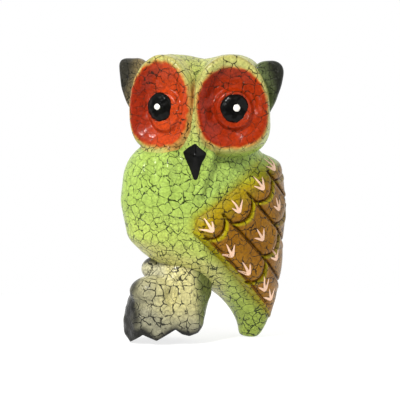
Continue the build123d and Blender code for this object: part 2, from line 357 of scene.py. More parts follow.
print("longest step while settling, mm:", round(SETTLE_SHARE * CUBE, 2))

# %% [markdown]
# The torso
# The owl's body is one pear-shaped block that runs down into the tail. It is described as a carver
# would draw it, by level slices: at each height, how far the slice is moved towards the tail, and
# how long and how wide it is. The body is turned on its perch, so there are two directions to
# measure in, along it towards the tail and across it towards the owl's left.

# %% Torso form
TORSO_TURN = radians(25)
SLICE_HEIGHT = (0, 10, 20, 31, 44, 58, 72, 98, 118, 129, 137, 150)
SLICE_SHIFT = (36.0, 38.4, 37.6, 32.0, 21.4, 7.9, 0.6, -1.4, -2.0, -3.7, -3.9, -3.9)
SLICE_LONG = (6.2, 9.6, 14.0, 19.0, 31.8, 47.2, 55.2, 58.8, 56.0, 49.2, 39.8, 14)
SLICE_WIDE = (8.5, 13.5, 17, 20, 27, 32.5, 35, 36.5, 35, 32, 26, 9)
TAIL_END, TAIL_ROUND = 0.3, 4.2
SHOULDER_TOP, SHOULDER_ROUND = 146, 2.0


def along_across(x, y):
    """How far a point is along the body towards the tail, and across it towards the owl's left."""
    return x * cos(TORSO_TURN) + y * sin(TORSO_TURN), x * sin(TORSO_TURN) - y * cos(TORSO_TURN)


def eased(z, values, reach=3.5):
    """A value read off the slices at height z, with the corners between slices rounded."""
    offsets = (-reach, -reach / 2, 0, reach / 2, reach)
    return sum(np.interp(z + offset, SLICE_HEIGHT, values) for offset in offsets) / len(offsets)


def slice_size(x, y, z):
    """1 on the torso's surface, less inside it."""
    along, across = along_across(x, y)
    lengthwise = (along - eased(z, SLICE_SHIFT)) / eased(z, SLICE_LONG)
    return np.sqrt(lengthwise**2 + (across / eased(z, SLICE_WIDE)) ** 2)


def bare_torso(x, y, z):
    """The torso with nothing carved on it."""
    size = slice_size(x, y, z)
    step = 0.5
    slope = np.sqrt(
        (slice_size(x + step, y, z) - slice_size(x - step, y, z)) ** 2
        + (slice_size(x, y + step, z) - slice_size(x, y - step, z)) ** 2
        + (slice_size(x, y, z + step) - slice_size(x, y, z - step)) ** 2
    )
    body = (size - 1) / np.maximum(slope, 0.01)
    return carve(carve(body, TAIL_END - z, TAIL_ROUND), z - SHOULDER_TOP, SHOULDER_ROUND)


chest = float(eased(98, SLICE_LONG)), float(eased(98, SLICE_WIDE))
print("chest, mm long and wide:", [round(2 * half, 1) for half in chest])


# %% [markdown]
# The head
# The head is a round crown with a heavy brow over each eye, and it is turned the other way from
# the body, almost to the front. All of it is measured from the upright line that it turns about:
# to the owl's left, to its front, and up.

# %% Head form
HEAD_TURN = radians(-13.5)
HEAD_AXIS = (1.6, -8.6)
SIDES = {"left": 1, "right": -1}
CROWN_HEIGHT, CROWN_RADII = 157, (42.5, 30, 39.2)
BROW_PLACE, BROW_RADII, BROW_POWER = (20.5, 5, 166.5), (24.3, 27, 32.8), 2.4
VALLEY = ((-1.5, -34, 200), (-4.5, -46, 172), 7.0)  # the gouge cut between the brows
CHIN = 128


def head_coords(x, y):
    """How far a point is to the head's own left and to its own front."""
    x, y = x - HEAD_AXIS[0], y - HEAD_AXIS[1]
    return x * cos(HEAD_TURN) + y * sin(HEAD_TURN), x * sin(HEAD_TURN) - y * cos(HEAD_TURN)


def skull(x, y, z):
    """Crown and brows."""
    left, front = head_coords(x, y)
    crown = egg(left, front, z - CROWN_HEIGHT, CROWN_RADII)
    beside, ahead, height = BROW_PLACE
    brow = egg(np.abs(left) - beside, front - ahead, z - height, BROW_RADII, BROW_POWER)
    brows_parted = carve(mould(crown, brow, 7.0), -rod(x, y, z, *VALLEY), 6.0)
    return carve(brows_parted, CHIN - z, 4.0)


print("head, mm from chin to crown:", round(CROWN_HEIGHT + CROWN_RADII[2] - CHIN, 1))


# %% [markdown]
# The eye discs
# Each eye is a big oval cup that faces a little outwards. Its front is a height map over the oval:
# a rounded rim, a slope worn by the gouge down to a ring, and in the middle a mound that carries
# the pupil. Its side flares out as it goes back, where it grows into the brow.

# %% Disc form
DISC_PLACE = {"left": (25.3, 26.5, 166.2), "right": (26.2, 26.5, 166.2)}
DISC_WIDER = {"left": 1.04, "right": 1.01}
DISC_RADII = (23.6, 32.4)
DISC_SPLAY, DISC_LEAN = 16.5, 4.0  # degrees
DISC_DEEP, RIM_ROUND, RIM_OUT = 17, 3.2, 0.4
FLARE, FLARE_BELOW = 0.16, 0.09
OVAL_MM = 27.5  # about a disc's mean radius, to turn shares of the oval into millimetres
DISH_DEPTH, DISH_SPAN = 6.2, (0.93, 0.48)
MOUND_HEIGHT, MOUND_SPAN = 4.2, (14.2, 10.6)
WORN = 0.75  # how much of the bowl is missing where one cup's rim was worn down
EYE_SHIFT = {"left": (1.6, -3.4), "right": (0.1, -2.7)}
MOUND_SHIFT = {"left": (1.0, -4.2), "right": (3.0, -5.8)}


def disc_coords(side, x, y, z):
    """Places on a disc: across it, up it, and out in front of its rim."""
    way = SIDES[side]
    left, front = head_coords(x, y)
    spread, ahead, height = DISC_PLACE[side]
    left, front, up = left - way * spread, front - ahead, z - height
    splay, lean = radians(way * DISC_SPLAY), radians(way * DISC_LEAN)
    across = (left * cos(splay) - front * sin(splay)) / DISC_WIDER[side]
    out = left * sin(splay) + front * cos(splay)
    return across * cos(lean) + up * sin(lean), up * cos(lean) - across * sin(lean), out


def oval(a, b):
    """1 on a disc's outline, less inside it. The disc is a little fuller below than above."""
    rx, rz = DISC_RADII
    power = 2.12 + 0.5 * ramp(b, 0, -20)
    return (np.abs(a / (rx - 0.02 * b)) ** power + np.abs(b / rz) ** power + 1e-9) ** (1 / power)


def mound_radius(side, a, b):
    """Distance from the mound's middle, in millimetres. The mound is a little taller than wide."""
    da, db = MOUND_SHIFT[side]
    return np.sqrt((a - da) ** 2 + ((b - db) / 1.1) ** 2)


def dish(side, a, b):
    """The height of a disc's front, from its rim."""
    worn = WORN * ramp(a * SIDES[side], 0, 14) * ramp(b, 2, -16) * (SIDES[side] > 0)
    bowl = -DISH_DEPTH * ramp(oval(a, b), *DISH_SPAN) * (1 - worn)
    mound = MOUND_HEIGHT * ramp(mound_radius(side, a, b), *MOUND_SPAN)
    gouged = 0.35 * knife_marks(a, b, a * 0.3, 13.0) * ramp(oval(a, b), 0.95, 0.7)
    return bowl + mound + gouged


def disc_flare(b):
    """How fast a disc widens towards its back. It does so less at its top, under the brow."""
    return FLARE * (1 - 0.9 * ramp(b, 4, 24)) + FLARE_BELOW * ramp(b, -10, -26)


def eye_disc(side, x, y, z):
    """One cup, rim and flare."""
    a, b, out = disc_coords(side, x, y, z)
    size = oval(a, b)
    wall = (size - 1) * OVAL_MM + disc_flare(b) * np.minimum(out, 0) - RIM_OUT
    cup = carve(wall, out - dish(side, a, b), RIM_ROUND)
    return carve(cup, -DISC_DEEP - out, 2.0)


def seat(side, x, y, z):
    """The space over a disc's dish, which the brow and the bib keep clear of."""
    a, b, out = disc_coords(side, x, y, z)
    return np.maximum((oval(a, b) - DISH_SPAN[0]) * OVAL_MM, dish(side, a, b) - out)


print("right mound, mm below its rim:", round(-float(dish("right", *MOUND_SHIFT["right"])), 1))


# %% [markdown]
# The bib and the chest
# Between the eyes a ridge comes down to hold the beak, and runs out below it in a shallow V. The
# chest on one side of it was left with soft upright flutes. Small forms like these are grown onto
# the body with a narrow fillet, so that their edges still catch the light.

# %% Bib form
SWELLING = ((-4.2, -24.5, 128), (12.5, 15.5, 23))  # a lump's middle and radii
BRIDGE = ((-4.4, -26, 141), (5.0, 12.0, 13.5))
COLLAR = ((6.6, -35.4, 134), (-2.4, -38.6, 105), 2.0)  # a ridge's ends and radius
FLUTES = ((2.1, -23.5, 4.2), (-2.3, -32, 4.3), (1.3, -41.5, 4.5))  # height, place and width
BIB_ON_BODY, BIB_ON_HEAD, NOSE, NECK_FILLET, FACE_FILLET = 3.5, 3.0, 0.8, 3.0, 1.6
SEAT_EDGE = 1.5


def bib(x, y, z):
    """The ridge that holds the beak, and the V below it."""
    ridge = mould(lump(x, y, z, *SWELLING), lump(x, y, z, *BRIDGE), 4.0)
    return mould(ridge, rod(x, y, z, *COLLAR), 3.2)


def flutes(x, y, z):
    """How far the chest is pushed in or out."""
    patch = bell(z, 121, 13) * ramp(y, -5, -20)
    return patch * sum(height * bell(x, middle, width) for height, middle, width in FLUTES)


def bare_owl(x, y, z):
    """Torso, head, discs and bib as one form, without wings."""
    torso = bare_torso(x, y, z) - flutes(x, y, z)
    body = mould(torso, bib(x, y, z), BIB_ON_BODY)
    face = mould(eye_disc("left", x, y, z), eye_disc("right", x, y, z), NOSE)
    head = mould(skull(x, y, z), bib(x, y, z), BIB_ON_HEAD)
    clear = np.minimum(seat("left", x, y, z), seat("right", x, y, z))
    head = carve(head, -clear, SEAT_EDGE)
    body = carve(body, -clear, SEAT_EDGE)
    owl = mould(mould(body, head, NECK_FILLET), face, FACE_FILLET)
    return owl + tool_marks(x, y, z)


print("deepest flute, mm:", min(height for height, _, _ in FLUTES))


# %% [markdown]
# The wings
# A wing is not a board but relief: low steps cut into the side of the body. So it is a height map
# too, this time over the body's side. Feathers run down towards the tail in four bands. Each has
# a rounded end, cut free with one push of a gouge, and a groove divides it from the next band. The
# shoulder rises softly out of the chest, and the lower edge has a lip.

# %% Wing relief
WING_CORNER = (-19.2, 76.2)
FEATHER_FALL = radians(-42.3)
BANDS = (0.0, 21.4, 44.7, 68.0, 92.0)
FEATHER_ENDS = ((10.0, 57.0), (18.0, 53.5), (23.0, 47.0), (28.0, 50.0))
FEATHER_ROUND = 7.0  # how far a feather's tip reaches past its sides
WING_HEIGHT, BACK_STRIP, WING_TOP = 3.7, 5.0, 129
SHOULDER_SET, SHOULDER_LEAN, CORNER_ROUND = 6.5, 0.22, 5.5
EDGE_GROOVE, BAND_GROOVE, NOTCH = 2.1, 2.2, 2.7  # depths
FEATHER_SWELL, BAND_LIP, TIP_SWELL, NOTCH_LIP = 0.9, 0.5, 0.8, 0.8  # heights


def feather_coords(along, z):
    """Places on a wing: down the feathers, and across the bands towards the shoulder."""
    a, h = along - WING_CORNER[0], z - WING_CORNER[1]
    down = a * cos(FEATHER_FALL) + h * sin(FEATHER_FALL)
    band = -a * sin(FEATHER_FALL) + h * cos(FEATHER_FALL)
    return down, band


def wing_edges(x, y, z):
    """How far a point is inside a wing from its shoulder, its lower edge, its top and its back."""
    along, across = along_across(x, y)
    down, band = feather_coords(along, z)
    shoulder = down + SHOULDER_SET - SHOULDER_LEAN * band - CORNER_ROUND * ramp(band, 9, 0)
    back = np.where(along > 0, np.abs(across) - BACK_STRIP, 50.0)
    return shoulder, band + 1.2, WING_TOP - z, back


def past_end(down, end, t):
    """How far a point is past a feather's rounded end, t of the way across its band."""
    return down - (end - FEATHER_ROUND * (2 * t - 1) ** 2)


def wing_relief(x, y, z):
    """The height of the wing above the bare torso, and 0 outside it."""
    down, band = feather_coords(along_across(x, y)[0], z)
    shoulder, lower, top, back = wing_edges(x, y, z)
    height = WING_HEIGHT * ramp(shoulder, -4.5, 3.5) * ramp(lower, -0.6, 1.4)
    height = height * ramp(top, -4, 6) * ramp(back, -0.5, 2.0) * (0.3 + 0.7 * ramp(z, 18, 36))
    inside = ramp(shoulder, 1.5, 5.0)
    detail = -EDGE_GROOVE * bell(band, 2.4, 1.0)
    for row, ends in enumerate(FEATHER_ENDS):
        start, stop = BANDS[row], BANDS[row + 1]
        t = (band - start) / (stop - start)
        here = (t >= 0) & (t < 1)
        if row:
            lip = BAND_LIP * bell(band, start - 2.4, 1.3)
            detail = detail - BAND_GROOVE * bell(band, start, 1.0) + lip
        detail = detail + here * FEATHER_SWELL * (1 - (2 * t - 1) ** 2)
        for end in ends:
            past = past_end(down, end, t)
            notch = -NOTCH * ramp(past, -1.0, 0.2) * np.exp(-np.maximum(past - 0.2, 0) / 1.5)
            lips = TIP_SWELL * bell(past, -4.0, 3.5), NOTCH_LIP * bell(past, 3.6, 1.7)
            detail = detail + here * (notch + lips[0] + lips[1])
    carved = height + detail * inside * ramp(height, 0.8, 2.8)
    return np.where(height > 0, np.maximum(carved, np.minimum(height, 0.8)), 0)


print("feather bands, mm wide:", [round(b - a, 1) for a, b in zip(BANDS, BANDS[1:])])


# %% [markdown]
# One form, many pieces
# The real owl looks as if it were one block, because filler and paint hide its glue joints. To get
# the same closed joints here, each piece is the same whole form, kept only inside its own
# territory. It goes a little way on under its neighbours, sunk by a hair, so no gap can open.

# %% Pieces of the body
NECK = 137.0
TUCK, SINK = 1.5, 0.22  # how far a piece goes on under its neighbour, and how deep
DISC_SEAM, SEAM_DEEP = 1.05, 12
WING_SHELL, WING_THINNEST = 1.0, 0.35


def disc_territory(side, x, y, z):
    """Negative in the space that belongs to one disc."""
    a, b, out = disc_coords(side, x, y, z)
    around = (oval(a, b) - DISC_SEAM) * OVAL_MM + disc_flare(b) * np.minimum(out, 0)
    nearer = head_coords(x, y)[0] * -SIDES[side]
    return np.maximum(np.maximum(around, -SEAM_DEEP - out), nearer)


def either_disc(x, y, z):
    """Negative in the space that belongs to either disc."""
    return np.minimum(disc_territory("left", x, y, z), disc_territory("right", x, y, z))


def part_of(whole, territory):
    """The whole form, kept inside a territory and tucked under what is next to it."""
    return np.maximum(whole + SINK * ramp(territory, 0, 0.8), territory - TUCK)


def torso_piece(x, y, z):
    return part_of(bare_owl(x, y, z), np.maximum(z - NECK, -either_disc(x, y, z)))


def head_piece(x, y, z):
    return part_of(bare_owl(x, y, z), np.maximum(NECK - z, -either_disc(x, y, z)))


def disc_piece(side):
    return lambda x, y, z: part_of(bare_owl(x, y, z), disc_territory(side, x, y, z))


def wing_piece(side):
    way = SIDES[side]

    def form(x, y, z):
        relief = wing_relief(x, y, z)
        bare = bare_torso(x, y, z) + tool_marks(x, y, z)
        shell = np.maximum(bare - relief, -bare - WING_SHELL)
        own_side = along_across(x, y)[1] * -way
        return np.maximum(np.maximum(shell, WING_THINNEST - relief), own_side)

    return form


pieces = {
    "carved_torso": skin("carved_torso", torso_piece, (-62, -50, -2), (62, 50, 141)),
    "carved_head": skin("carved_head", head_piece, (-56, -52, 133), (56, 34, 203)),
}
for side in SIDES:
    reach = {"left": ((-8, -52), (54, -16)), "right": ((-60, -48), (4, -4))}[side]
    box = [(*corner, z) for corner, z in zip(reach, (128, 203))]
    pieces[f"{side}_eye_cup"] = skin(f"{side}_eye_cup", disc_piece(side), *box)
    box = (-62, -50, 12), (64, 50, 134)
    pieces[f"{side}_carved_wing"] = skin(f"{side}_carved_wing", wing_piece(side), *box)

# %% [markdown]
# The perch
# The owl stands on a piece of root, carved with a knot under the chest, a knuckle on the front and
# ragged root ends at the bottom. It is another stack of level slices, with lumps grown on, a few
# gouge cuts, and a floor that rises and falls between the root ends.

# %% Perch form
ROOT_HEIGHT = (-2, 6, 14, 24, 34, 44, 62)
ROOT_X = (-29.5, -28.7, -27.0, -25.2, -22.0, -16.5, -9)
ROOT_Y = (-11, -11, -11, -11, -10, -8, -4)
ROOT_WIDE = (23.8, 25.8, 28.2, 28.8, 28.0, 23.0, 19)
ROOT_DEEP = (23, 24, 25.5, 25.5, 24.5, 21.5, 17)
RAGGED_X = (-57, -50, -41, -31.5, -18.5, -14, -9, -3, 1, 5)
RAGGED_FRONT = (9, 0.6, 6.6, 2.8, 10.6, 7.2, 5.6, 7.4, 12, 20)
RAGGED_BACK = (4, 0.6, 4.5, 0.6, 11, 9.0, 8.0, 9.5, 13, 20)
KNOT = ((-31.5, -1.0, 49.8), (11.2, 13, 8.8))  # a lump's middle and radii
KNUCKLE = ((-34.5, -22.5, 36.0), (15.8, 13.5, 11.0))
HEEL = ((-13, -22, 14), (13, 11.5, 13))
HOLLOW = ((-21.5, -35.0, 34.5), (4.5, 5.5, 6.5))
SPLIT = ((-51, -26, 27), (-43, -35, 31), 1.0)  # a cut's ends and radius
PARTING = ((-19, -38, 16), (-16, -37, 6), 2.0)


def root_ends(x, y):
    """The height of the perch's underside."""
    front, back = np.interp(x, RAGGED_X, RAGGED_FRONT), np.interp(x, RAGGED_X, RAGGED_BACK)
    return front + (back - front) * ramp(y, -18, 2)


def perch_form(x, y, z):
    """The root, cut off a millimetre inside the torso that sits on it."""
    across = (x - np.interp(z, ROOT_HEIGHT, ROOT_X)) / np.interp(z, ROOT_HEIGHT, ROOT_WIDE)
    deep = (y - np.interp(z, ROOT_HEIGHT, ROOT_Y)) / np.interp(z, ROOT_HEIGHT, ROOT_DEEP)
    root = (np.sqrt(across**2 + deep**2) - 1) * 25
    bark = 0.45 * knife_marks(x, y, z * 0.45, 21.0) + 0.15 * knife_marks(y, z, x, 9.0)
    root = mould(root + bark, lump(x, y, z, *KNUCKLE), 1.7)
    root = mould(root, lump(x, y, z, *HEEL), 5.0)
    root = carve(root, -lump(x, y, z, *HOLLOW), 2.5)
    root = carve(root, -rod(x, y, z, *SPLIT), 1.5)
    root = carve(root, -rod(x, y, z, *PARTING), 2.5)
    root = mould(root, lump(x, y, z, *KNOT), 1.2)
    root = carve(root, root_ends(x, y) - z, 1.6)
    return carve(root, -bare_torso(x, y, z) - 1.0, 0.5)


pieces["carved_perch"] = skin("carved_perch", perch_form, (-60, -44, -2), (14, 20, 64))

# %% [markdown]
# The ears
# Each ear is a thick leaf with a flat top, a round shoulder and a long slanting lower edge. Its
# front is hollowed a little. The outline is three straight cuts with very round corners.

# %% Ear form
EAR_REACH = {"left": 56.8, "right": 59.6}
EAR_LEVEL = {"left": 180.5, "right": 182.8}
EAR_SWEEP = radians(14)
EAR_HALF, EAR_HOLLOW, EAR_ROOT = 5.2, 1.7, 30
EAR_DIP, EAR_DIP_START, EAR_DIP_LENGTH = 0.73, 16.0, 1.24  # the slope down to the head
EAR_TOP = {"left": (14.6, 10.0), "right": (13.8, 5.5)}  # height, and how round the corner is
EAR_SLANT = {"left": (0.867, 0.499, 3.6), "right": (0.79, 0.61, 10.5)}  # a normal, and a drop


def ear_coords(side, x, y, z):
    """Places on an ear: outwards from its outermost edge, up, and out of its front."""
    left, front = head_coords(x, y)
    reach, front = left * SIDES[side] - EAR_REACH[side], front - 1.5
    outward = reach * cos(EAR_SWEEP) - front * sin(EAR_SWEEP)
    return outward, z - EAR_LEVEL[side], reach * sin(EAR_SWEEP) + front * cos(EAR_SWEEP)


def ear_leaf(side, x, y, z):
    """The outline of an ear, as distance outside it."""
    outward, up, _ = ear_coords(side, x, y, z)
    top, corner = EAR_TOP[side]
    out_share, down_share, drop = EAR_SLANT[side]
    slant = out_share * outward - down_share * (up + drop)
    dip = (up - top - EAR_DIP * (outward + EAR_DIP_START)) / EAR_DIP_LENGTH
    return carve(carve(carve(up - top, dip, 2.5), outward, corner), slant, 10)


def ear_form(side):
    def form(x, y, z):
        outward, _, out = ear_coords(side, x, y, z)
        leaf = ear_leaf(side, x, y, z)
        front = EAR_HALF - EAR_HOLLOW * ramp(leaf, -1.5, -7)
        ear = carve(leaf, np.maximum(out - front, -out - EAR_HALF), 4.5)
        ear = np.maximum(ear + 0.1 * knife_marks(x, y, z, 11), -EAR_ROOT - outward)
        return np.maximum(ear, -1.2 - np.minimum(skull(x, y, z), eye_disc(side, x, y, z)))

    return form


for side in SIDES:
    edge = SIDES[side] * EAR_REACH[side] * cos(HEAD_TURN)
    ends = sorted((edge - SIDES[side] * 30, edge + SIDES[side] * 6))
    lowest = {"left": -34, "right": -14}[side]
    box = (ends[0], lowest, 150), (ends[1], lowest + 32, 202)
    pieces[f"{side}_carved_ear"] = skin(f"{side}_carved_ear", ear_form(side), *box)

# %% [markdown]
# The beak
# The beak is a blunt diamond of hard black wood, cut with five strokes of the knife that meet in a
# point. A form with flat faces is the common part of half spaces, one for each cut, and a very
# small fillet leaves the knife's edges just soft enough to shine.

# %% Beak form
BEAK_CORNERS = ((-4.9, 140.8), (3.0, 132.0), (-3.2, 113.0), (-6.4, 113.0), (-13.4, 133.0))
BEAK_POINT = (-4.9, -45.2, 131.0)
BEAK_BASE, BEAK_ROOT, BEAK_EDGE = -39.0, -29.0, 0.9


def beak_form(x, y, z):
    """Five flat cuts to the point, and five side walls."""
    form = y - BEAK_ROOT
    turns = zip(BEAK_CORNERS, BEAK_CORNERS[1:] + BEAK_CORNERS[:1])
    for (x0, z0), (x1, z1) in turns:
        edge = np.array((x1 - x0, 0, z1 - z0))
        rise = np.array(BEAK_POINT) - np.array((x0, BEAK_BASE, z0))
        wall = np.array((-(z1 - z0), 0, x1 - x0)) / np.hypot(x1 - x0, z1 - z0)
        face = np.cross(edge, rise)
        face = face / np.linalg.norm(face) * -np.sign(face[1])
        form = carve(form, wall[0] * (x - x0) + wall[2] * (z - z0), BEAK_EDGE)
        slant = face[0] * (x - x0) + face[1] * (y - BEAK_BASE) + face[2] * (z - z0)
        form = carve(form, slant, BEAK_EDGE)
    return form


pieces["carved_beak"] = skin("carved_beak", beak_form, (-17, -48, 110), (7, -26, 145), 0.5)

# %% [markdown]
# Pupils and glints
# The pupils are domes of thick black enamel, laid on with a loaded brush, so they are not quite
# round and not quite smooth. A drop of white enamel on each makes the eye look alive.

# %% Pupil and glint forms
PUPIL_RADII = (9.5, 10.0, 4.1)
PUPIL_BASE = -2.3
GLINT_PLACE = {"left": (1.2, 0.2), "right": (-0.2, 0.1)}
GLINT_RADII = {"left": (2.4, 2.5, 1.0), "right": (2.3, 2.2, 1.0)}
GLINT_SUNK = 0.35


def eye_coords(side, x, y, z):
    """Places on a pupil: across, up, and out from its base."""
    a, b, out = disc_coords(side, x, y, z)
    return a - EYE_SHIFT[side][0], b - EYE_SHIFT[side][1], out - PUPIL_BASE


def pupil_form(side):
    def form(x, y, z):
        a, b, out = eye_coords(side, x, y, z)
        dome = egg(a, b, out, PUPIL_RADII) + 0.16 * knife_marks(a, b, out, 5.5)
        return carve(dome, -1.6 - out, 0.6)

    return form


def glint_form(side):
    a0, b0 = GLINT_PLACE[side]
    ra, rb, rise = PUPIL_RADII
    seat_height = rise * np.sqrt(1 - (a0 / ra) ** 2 - (b0 / rb) ** 2)

    def form(x, y, z):
        a, b, out = eye_coords(side, x, y, z)
        drop = egg(a - a0, b - b0, out - seat_height + GLINT_SUNK, GLINT_RADII[side])
        return drop + 0.05 * knife_marks(a, b, a, 3)

    return form


for side in SIDES:
    corner_low, corner_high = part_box(f"{side}_pupil")
    box = [v / MM - 4 for v in corner_low], [v / MM + 4 for v in corner_high]
    pieces[f"{side}_black_pupil"] = skin(f"{side}_black_pupil", pupil_form(side), *box, 0.5)
    pieces[f"{side}_white_glint"] = skin(f"{side}_white_glint", glint_form(side), *box, 0.3)

# %% [markdown]
# Feather marks
# The pale marks on the wings are three quick strokes of a fine brush, pressed down where they meet
# and lifted off at the ends. The paint is thick enough to stand up a little, so each stroke is a
# thin blade of mesh, laid on the wing by dropping its points onto the wing's surface.

# %% Where the strokes go
MARKS = (  # down the feathers from the wing's corner, and across the bands, in millimetres
    (4.6, 7.6), (28.4, 5.4), (48.4, 5.3), (68.6, 6.6), (79.5, 6.6),
    (10.9, 30.3), (40.0, 29.4), (61.5, 28.8),
    (16.4, 55.6), (38.6, 55.0), (18.0, 74.0),
)
STROKES = ((159, 8.0), (121, 11.6), (85, 8.6))  # direction in degrees, and length in millimetres
STROKE_HALF, STROKE_TIP = 1.05, 0.07  # half of a stroke's width at its fullest and at its tip
STROKE_STEPS, PAINT_ABOVE, PAINT_BELOW = 9, 0.16, 0.25
OUTSIDE = 70  # millimetres from the owl's middle, clear of everything


def stroke_outline(place, direction, length, bend):
    """Pairs of points down both sides of a stroke, in (along, height) on the body's side."""
    pairs = []
    for step in range(STROKE_STEPS):
        t = step / (STROKE_STEPS - 1)
        angle = radians(direction + bend * t)
        middle = np.array(place) + np.array((cos(angle), sin(angle))) * length * t
        half = STROKE_HALF * (1 - t) ** 0.6 * (0.55 + 0.45 * ramp(t, 0, 0.25)) + STROKE_TIP
        side_way = np.array((-sin(angle), cos(angle))) * half
        pairs.append((middle + side_way, middle - side_way))
    return pairs


def lay_on(wing, way, point):
    """The wing's surface and its normal straight in from the side, or None past its edge."""
    along, height = point
    out = Vector((sin(TORSO_TURN), -cos(TORSO_TURN), 0)) * way
    tail = Vector((cos(TORSO_TURN), sin(TORSO_TURN), 0))
    start = (tail * along + out * OUTSIDE + Vector((0, 0, height))) * MM
    place, normal, _, _ = wing.ray_cast(start, -out, (OUTSIDE - 6) * MM)
    return (place, normal) if place else None


print(f"{len(MARKS)} marks of {len(STROKES)} strokes on each wing")

# %% [markdown]
# From strokes to a mesh
# Each stroke becomes a closed blade: a row of points above the surface, a row below it, and faces
# between. The hand is never quite steady, so a seeded random wobble turns and stretches each
# stroke a little, in the same way on every run. Strokes that would run off the wing are left out.

# %% Lay the brush strokes
WOBBLE_SEED = 7


def feather_marks(side):
    """All the strokes on one wing, as one piece."""
    bm = bmesh.new()
    wing = BVHTree.FromObject(pieces[f"{side}_carved_wing"], bpy.context.evaluated_depsgraph_get())
    wobble = np.random.default_rng(WOBBLE_SEED)
    for down, band in MARKS:
        along = WING_CORNER[0] + down * cos(FEATHER_FALL) - band * sin(FEATHER_FALL)
        height = WING_CORNER[1] + down * sin(FEATHER_FALL) + band * cos(FEATHER_FALL)
        turn = wobble.uniform(-9, 9)
        for direction, length in STROKES:
            bend, stretch = wobble.uniform(-10, 10), wobble.uniform(0.85, 1.1)
            outline = stroke_outline((along, height), direction + turn, length * stretch, bend)
            spots = [[lay_on(wing, SIDES[side], p) for p in pair] for pair in outline]
            if any(spot is None for pair in spots for spot in pair):
                continue
            rows = []
            for pair in spots:
                top = [bm.verts.new(place + normal * PAINT_ABOVE * MM) for place, normal in pair]
                under = [bm.verts.new(place - normal * PAINT_BELOW * MM) for place, normal in pair]
                rows.append((top[0], top[1], under[1], under[0]))
            for one, two in zip(rows, rows[1:]):
                for i in range(4):
                    bm.faces.new((one[i], two[i], two[(i + 1) % 4], one[(i + 1) % 4]))
            bm.faces.new(rows[0])
            bm.faces.new(rows[-1][::-1])
    bmesh.ops.recalc_face_normals(bm, faces=bm.faces)
    mesh = bpy.data.meshes.new(f"{side}_feather_marks")
    bm.to_mesh(mesh)
    bm.free()
    marks = bpy.data.objects.new(f"{side}_feather_marks", mesh)
    bpy.context.scene.collection.objects.link(marks)
    print(f"{side} feather marks: {len(mesh.polygons)} faces")
    return marks


for side in SIDES:
    pieces[f"{side}_feather_marks"] = feather_marks(side)

# %% [markdown]
# Mixing the paint
# The painter laid a light green over the whole owl, then sprayed and brushed other colours on top:
# orange in the eye cups, lime on the shoulders, ochre over the feathers, cream and soot on the
# perch. Here each colour is laid in the same order as a veil over the points of a mesh. Creases
# are found by looking a little way out along each normal: where the form is still near, the colour
# is darkened as painted shade. Most numbers in the recipes below are millimetres, up the owl or
# out from an edge, and the last factor of each is how thick that veil is.

# %% Paint pots and brushes
def pot(red, green, blue):
    """A paint colour from its everyday 0 to 255 numbers."""
    share = np.array((red, green, blue)) / 255
    return np.where(share <= 0.04045, share / 12.92, ((share + 0.055) / 1.055) ** 2.4)


LEAF, PALE_LEAF, DEEP_LEAF = pot(180, 210, 98), pot(198, 208, 106), pot(132, 154, 52)
BELLY, LIME, STRAW = pot(206, 220, 104), pot(182, 178, 0), pot(212, 208, 126)
ORANGE, RUST, RED, AMBER = pot(206, 70, 20), pot(172, 48, 6), pot(150, 34, 14), pot(214, 150, 70)
OCHRE, BROWN, OLIVE, DUST = pot(170, 116, 0), pot(134, 80, 0), pot(132, 124, 0), pot(152, 118, 66)
CREAM, STONE, SOOT, MOSS = pot(222, 214, 148), pot(168, 165, 136), pot(34, 34, 30), pot(96, 112, 44)
SAGE, UMBER = pot(118, 132, 84), pot(134, 118, 80)
PAINT_STRENGTH = 0.8  # every paint colour is scaled down evenly, so the owl under its lamps is not lit too bright


def veil(under, colour, amount):
    """Lays colour over what is there, amount from 0 to 1 at each point."""
    amount = np.clip(amount, 0, 1)[:, None]
    return under * (1 - amount) + colour * amount


def points_and_crease_shade(piece, form, reach=2.6):
    """A piece's points and normals, and its painted shade: 0 on open surface, towards 1 in a crease."""
    count = len(piece.data.vertices)
    points, normals = np.zeros(count * 3), np.zeros(count * 3)
    piece.data.vertices.foreach_get("co", points)
    piece.data.vertex_normals.foreach_get("vector", normals)
    points, normals = points.reshape(-1, 3) / MM, normals.reshape(-1, 3)
    beyond = form(*(points + normals * reach).T) / reach
    return points, normals, np.clip(1 - beyond, 0, 1)


def brush_on(piece, colours, cracking=1.0):
    """Stores the mixed paint on the mesh, with how hard it cracked as its alpha."""
    layer = piece.data.color_attributes.new("paint", "FLOAT_COLOR", "POINT")
    rgba = np.ones((len(colours), 4), np.float32)
    rgba[:, :3] = colours * PAINT_STRENGTH
    rgba[:, 3] = cracking
    layer.data.foreach_set("color", rgba.ravel())
    print(f"{piece.name}: {len(colours)} points painted")


print("a mid grey pot of 128, as light:", round(float(pot(128, 128, 128)[0]), 3))
